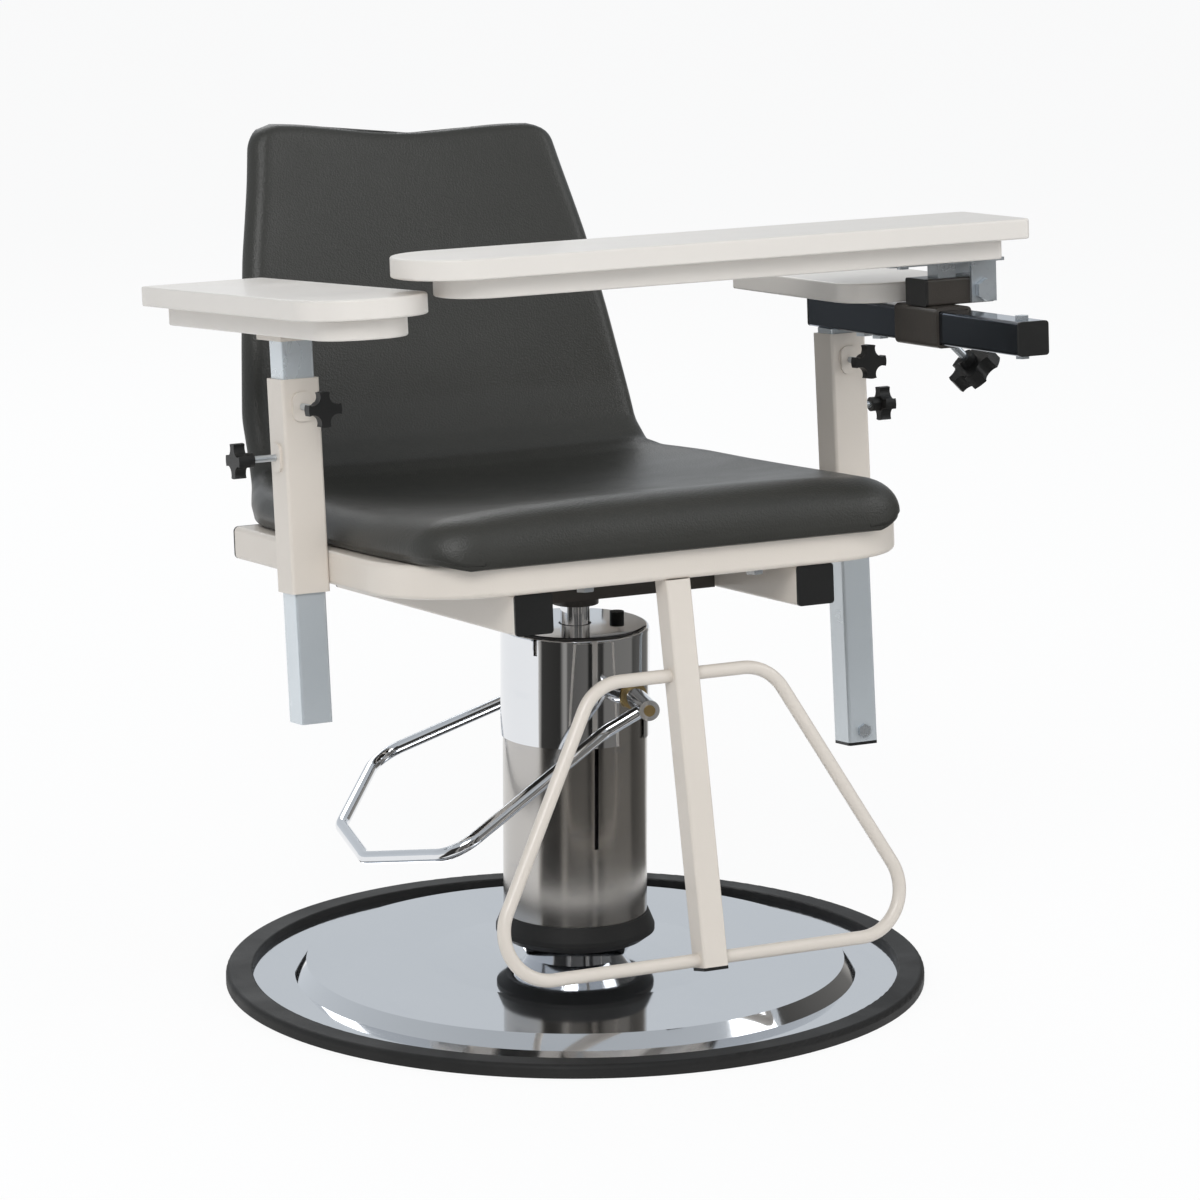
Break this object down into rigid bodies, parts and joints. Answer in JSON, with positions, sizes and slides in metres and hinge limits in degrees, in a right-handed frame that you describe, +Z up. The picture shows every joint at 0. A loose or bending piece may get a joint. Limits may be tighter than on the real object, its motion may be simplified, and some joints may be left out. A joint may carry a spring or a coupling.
{
  "type": "phlebotomy chair",
  "caption": "Padded clinic chair on a foot-pumped pedestal with side armrests, a flip-up arm across the front and a hoop footrest.",
  "frame": {"origin": "centre of the base's underside on the floor, under the column", "axes": "+Z up, the seat faces -Y, the flip-up arm's hinge is on the +X side"},
  "size_m": [0.7147, 0.7832, 0.7832],
  "materials": {
    "cream_paint": "satin powder coat",
    "zinc": "bright zinc plate",
    "chrome": "polished",
    "cream_board": "satin paint on wood board",
    "bare_steel": "machined",
    "dark_paint": "satin dark brown",
    "black_plastic": "fine grain",
    "rubber": "matt",
    "padding": "grained integral skin foam",
    "wood_board": "black stained",
    "brass": "plain",
    "cast": "as cast"
  },
  "bodies": {
    "base": {"base_disc": "cast", "base_cover": "chrome", "base_ring": "rubber", "pump_neck": "chrome", "collar_ring": "rubber", "pump_housing": "chrome", "pump_cover": "chrome", "filler_plug": "black_plastic", "pump_block": "cast", "cylinder_head": "bare_steel", "lever_bushes": "brass"},
    "lift": {"lift_piston": "bare_steel"},
    "plunger": {"plunger": "bare_steel"},
    "lever": {"lever_shaft": "chrome", "lever_loop": "chrome", "lever_screws": "brass"},
    "seat": {"swivel_hub": "dark_paint", "piston_rod": "chrome", "mount_channel": "dark_paint", "seat_beam_left": "cream_paint", "seat_beam_right": "cream_paint", "tube_caps": "black_plastic", "seat_frame_tube": "cream_paint", "rear_cross_tube": "cream_paint", "seat_base_board": "wood_board", "seat_shell": "padding", "seat_bolts": "zinc", "footrest_post": "cream_paint", "footrest_hoop": "cream_paint", "arm_sleeve_left": "cream_paint", "arm_sleeve_right": "cream_paint", "knob_plates": "cream_paint"},
    "left_arm": {"arm_post_left": "chrome", "arm_bracket_left": "zinc", "arm_screws_left": "zinc", "arm_board_lower_left": "cream_board", "arm_board_upper_left": "cream_board"},
    "right_arm": {"arm_post_right": "chrome", "right_arm_caps": "black_plastic", "right_arm_bolts": "zinc", "arm_bar": "chrome", "arm_board_right": "cream_board"},
    "carriage": {"carriage_sleeve": "dark_paint", "hinge_block": "dark_paint", "block_cap": "black_plastic", "hinge_bolt": "zinc"},
    "flip_arm": {"hinge_bracket": "zinc", "flip_screws": "zinc", "flip_board_lower": "cream_board", "flip_board_upper": "cream_board"},
    "clamp": {"clamp_screw": "zinc", "clamp_knob": "black_plastic"},
    "knob_left_front": {"star_knob_left_front": "black_plastic", "knob_stud_left_front": "zinc"},
    "knob_left_side": {"star_knob_left_side": "black_plastic", "knob_stud_left_side": "zinc"},
    "knob_right_front": {"star_knob_right_front": "black_plastic", "knob_stud_right_front": "zinc"},
    "knob_right_side": {"star_knob_right_side": "black_plastic", "knob_stud_right_side": "zinc"}
  },
  "joints": [
    {"name": "seat_lift", "type": "slide", "parent": "base", "child": "lift", "axis": [0, 0, 1], "range_m": [-0.009, 0.15]},
    {"name": "seat_swivel", "type": "hinge", "parent": "lift", "child": "seat", "pos_m": [0, 0, 0.1], "axis": [0, 0, 1], "continuous": true},
    {"name": "pump_lever", "type": "hinge", "parent": "base", "child": "lever", "pos_m": [0.0419, -0.00967, 0.291], "axis": [-0.225, -0.9744, 0], "range_deg": [0, 24], "stiffness_Nm_per_rad": 12, "springref_deg": -28.65},
    {"name": "pump_plunger", "type": "slide", "parent": "base", "child": "plunger", "axis": [0, 0, -1], "range_m": [0, 0.0071]},
    {"name": "left_arm_height", "type": "slide", "parent": "seat", "child": "left_arm", "axis": [0, 0.1071, 0.9942], "range_m": [-0.034, 0.008]},
    {"name": "right_arm_height", "type": "slide", "parent": "seat", "child": "right_arm", "axis": [0, 0.1071, 0.9942], "range_m": [0, 0.18]},
    {"name": "flip_arm_reach", "type": "slide", "parent": "right_arm", "child": "carriage", "axis": [0, -0.9971, 0.0767], "range_m": [-0.007, 0.118]},
    {"name": "flip_arm_hinge", "type": "hinge", "parent": "carriage", "child": "flip_arm", "pos_m": [0.33255, -0.17651, 0.67835], "axis": [0, 0.9971, -0.0767], "range_deg": [0, 90]},
    {"name": "reach_clamp", "type": "hinge", "parent": "carriage", "child": "clamp", "pos_m": [0.28905, -0.17895, 0.64669], "axis": [0.7071, -0.0542, -0.705], "range_deg": [-360, 360]},
    {"name": "left_front_clamp", "type": "hinge", "parent": "seat", "child": "knob_left_front", "pos_m": [-0.28905, 0.00205, 0.58584], "axis": [0, -0.9942, 0.1071], "range_deg": [-360, 360]},
    {"name": "left_side_clamp", "type": "hinge", "parent": "seat", "child": "knob_left_side", "pos_m": [-0.28905, -0.00298, 0.53912], "axis": [-1, 0, 0], "range_deg": [-360, 360]},
    {"name": "right_front_clamp", "type": "hinge", "parent": "seat", "child": "knob_right_front", "pos_m": [0.28905, 0.00205, 0.58584], "axis": [0, -0.9942, 0.1071], "range_deg": [-360, 360]},
    {"name": "right_side_clamp", "type": "hinge", "parent": "seat", "child": "knob_right_side", "pos_m": [0.28905, -0.00298, 0.53912], "axis": [1, 0, 0], "range_deg": [-360, 360]}
  ],
  "couplings": [
    {"joint": "pump_plunger", "follows": "pump_lever", "m_per_rad": 0.016}
  ]
}
